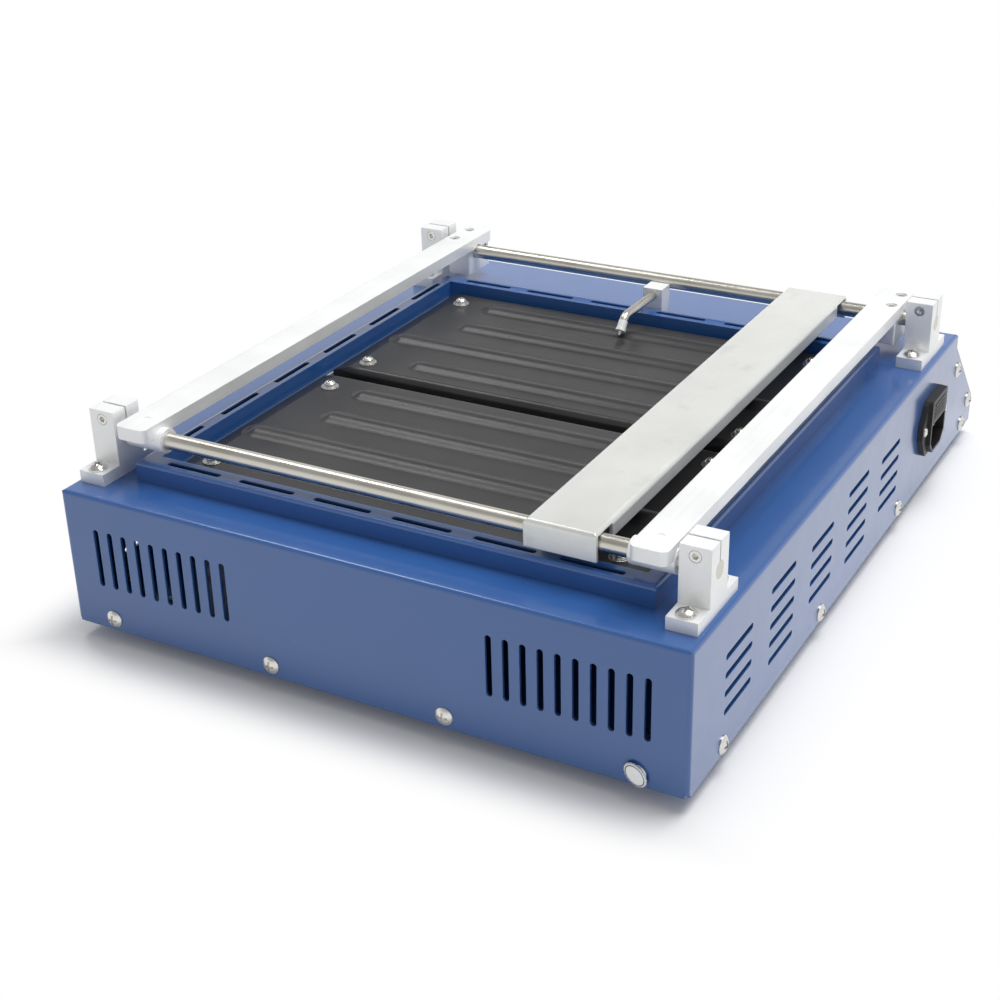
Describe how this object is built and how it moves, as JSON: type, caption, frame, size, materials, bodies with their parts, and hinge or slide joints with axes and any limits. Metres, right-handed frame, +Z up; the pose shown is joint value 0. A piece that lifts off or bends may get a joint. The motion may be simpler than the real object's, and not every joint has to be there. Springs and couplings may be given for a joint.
{
  "type": "board preheater",
  "caption": "Flat infrared preheater with ribbed heater plates in a raised rim, guide rods carrying clamp rails and a slider plate, a slanted control panel and a mains inlet.",
  "frame": {"origin": "centre of the case outline, on the plane the feet stand on", "axes": "+Z up, +Y towards the rear panel, -Y towards the slanted control panel, -X towards the wall with the mains inlet"},
  "size_m": [0.3275, 0.4222, 0.1108],
  "materials": {
    "case_paint": "satin-gloss blue stoved paint",
    "heater_black": "satin black heat-proof coat",
    "galvanised_sheet": "bare matt zinc-coated sheet",
    "plated_steel": "bright nickel plate",
    "rod_steel": "ground steel",
    "bare_aluminium": "satin machined",
    "ceramic_fibre": "fibrous",
    "mica": "matt mica board",
    "black_plastic": "fine grain",
    "grey_plastic": "smooth",
    "pale_plastic": "smooth",
    "red_plastic": "gloss",
    "board_green": "solder mask",
    "pin_brass": "nickel over brass",
    "fuse_glass": "clear",
    "dark_window": "gloss",
    "foot_rubber": "matt"
  },
  "bodies": {
    "chassis": {"base_tray": "case_paint", "outer_cover": "case_paint", "front_panel": "case_paint", "heater_rim": "case_paint", "heater_tray": "galvanised_sheet", "insulation_pad": "ceramic_fibre", "heater_plate_rear": "heater_black", "heater_plate_front": "heater_black", "heating_element_rear": "mica", "heating_element_front": "mica", "heater_standoffs": "plated_steel", "heater_washers": "plated_steel", "heater_screws": "plated_steel", "sensor_post": "bare_aluminium", "sensor_tube": "rod_steel", "sensor_tip": "bare_aluminium", "shaft_support_rear_left": "bare_aluminium", "shaft_support_rear_right": "bare_aluminium", "shaft_support_front_left": "bare_aluminium", "shaft_support_front_right": "bare_aluminium", "support_screws": "plated_steel", "clamp_screws": "plated_steel", "guide_rod_rear": "rod_steel", "guide_rod_front": "rod_steel", "inlet_housing": "black_plastic", "inlet_pins": "pin_brass", "controller_housing": "black_plastic", "controller_window": "dark_window", "power_switch_housing": "black_plastic", "zone_switch_housings": "black_plastic", "control_board": "board_green", "board_standoffs": "plated_steel", "solid_state_relays": "pale_plastic", "terminal_block": "pale_plastic", "rubber_feet": "foot_rubber", "foot_screws": "plated_steel", "rear_case_screws": "plated_steel", "left_case_screws": "plated_steel", "right_case_screws": "plated_steel"},
    "left_rail": {"left_rail_bar": "bare_aluminium", "left_rail_block": "bare_aluminium", "left_rail_sleeve": "bare_aluminium", "left_rail_screws": "plated_steel"},
    "right_rail": {"right_rail_bar": "bare_aluminium", "right_rail_block": "bare_aluminium", "right_rail_sleeve": "bare_aluminium", "right_rail_screws": "plated_steel"},
    "slider": {"slider_plate": "galvanised_sheet"},
    "drawer": {"fuse_drawer": "black_plastic", "fuse": "fuse_glass"},
    "power_rocker": {"power_rocker": "red_plastic"},
    "rear_zone_rocker": {"rear_zone_rocker": "black_plastic"},
    "front_zone_rocker": {"front_zone_rocker": "black_plastic"},
    "key_set": {"key_set": "grey_plastic"},
    "key_shift": {"key_shift": "grey_plastic"},
    "key_down": {"key_down": "grey_plastic"},
    "key_up": {"key_up": "grey_plastic"}
  },
  "joints": [
    {"name": "left_rail_slide", "type": "slide", "parent": "chassis", "child": "left_rail", "axis": [-1, 0, 0], "range_m": [0, 0.11]},
    {"name": "right_rail_slide", "type": "slide", "parent": "chassis", "child": "right_rail", "axis": [1, 0, 0], "range_m": [0, 0.008]},
    {"name": "slider_slide", "type": "slide", "parent": "chassis", "child": "slider", "axis": [1, 0, 0], "range_m": [-0.005, 0.06]},
    {"name": "fuse_drawer_slide", "type": "slide", "parent": "chassis", "child": "drawer", "axis": [-1, 0, 0], "range_m": [0, 0.015]},
    {"name": "power_rocker_hinge", "type": "hinge", "parent": "chassis", "child": "power_rocker", "pos_m": [0.108, -0.18488, 0.04488], "axis": [1, 0, 0], "range_deg": [0, 20]},
    {"name": "rear_zone_rocker_hinge", "type": "hinge", "parent": "chassis", "child": "rear_zone_rocker", "pos_m": [0.073, -0.18488, 0.04488], "axis": [1, 0, 0], "range_deg": [0, 20]},
    {"name": "front_zone_rocker_hinge", "type": "hinge", "parent": "chassis", "child": "front_zone_rocker", "pos_m": [0.045, -0.18488, 0.04488], "axis": [1, 0, 0], "range_deg": [0, 20]},
    {"name": "key_set_press", "type": "slide", "parent": "chassis", "child": "key_set", "axis": [0, 0.7071, -0.7071], "range_m": [0, 0.0008], "stiffness_N_per_m": 900},
    {"name": "key_shift_press", "type": "slide", "parent": "chassis", "child": "key_shift", "axis": [0, 0.7071, -0.7071], "range_m": [0, 0.0008], "stiffness_N_per_m": 900},
    {"name": "key_down_press", "type": "slide", "parent": "chassis", "child": "key_down", "axis": [0, 0.7071, -0.7071], "range_m": [0, 0.0008], "stiffness_N_per_m": 900},
    {"name": "key_up_press", "type": "slide", "parent": "chassis", "child": "key_up", "axis": [0, 0.7071, -0.7071], "range_m": [0, 0.0008], "stiffness_N_per_m": 900}
  ]
}
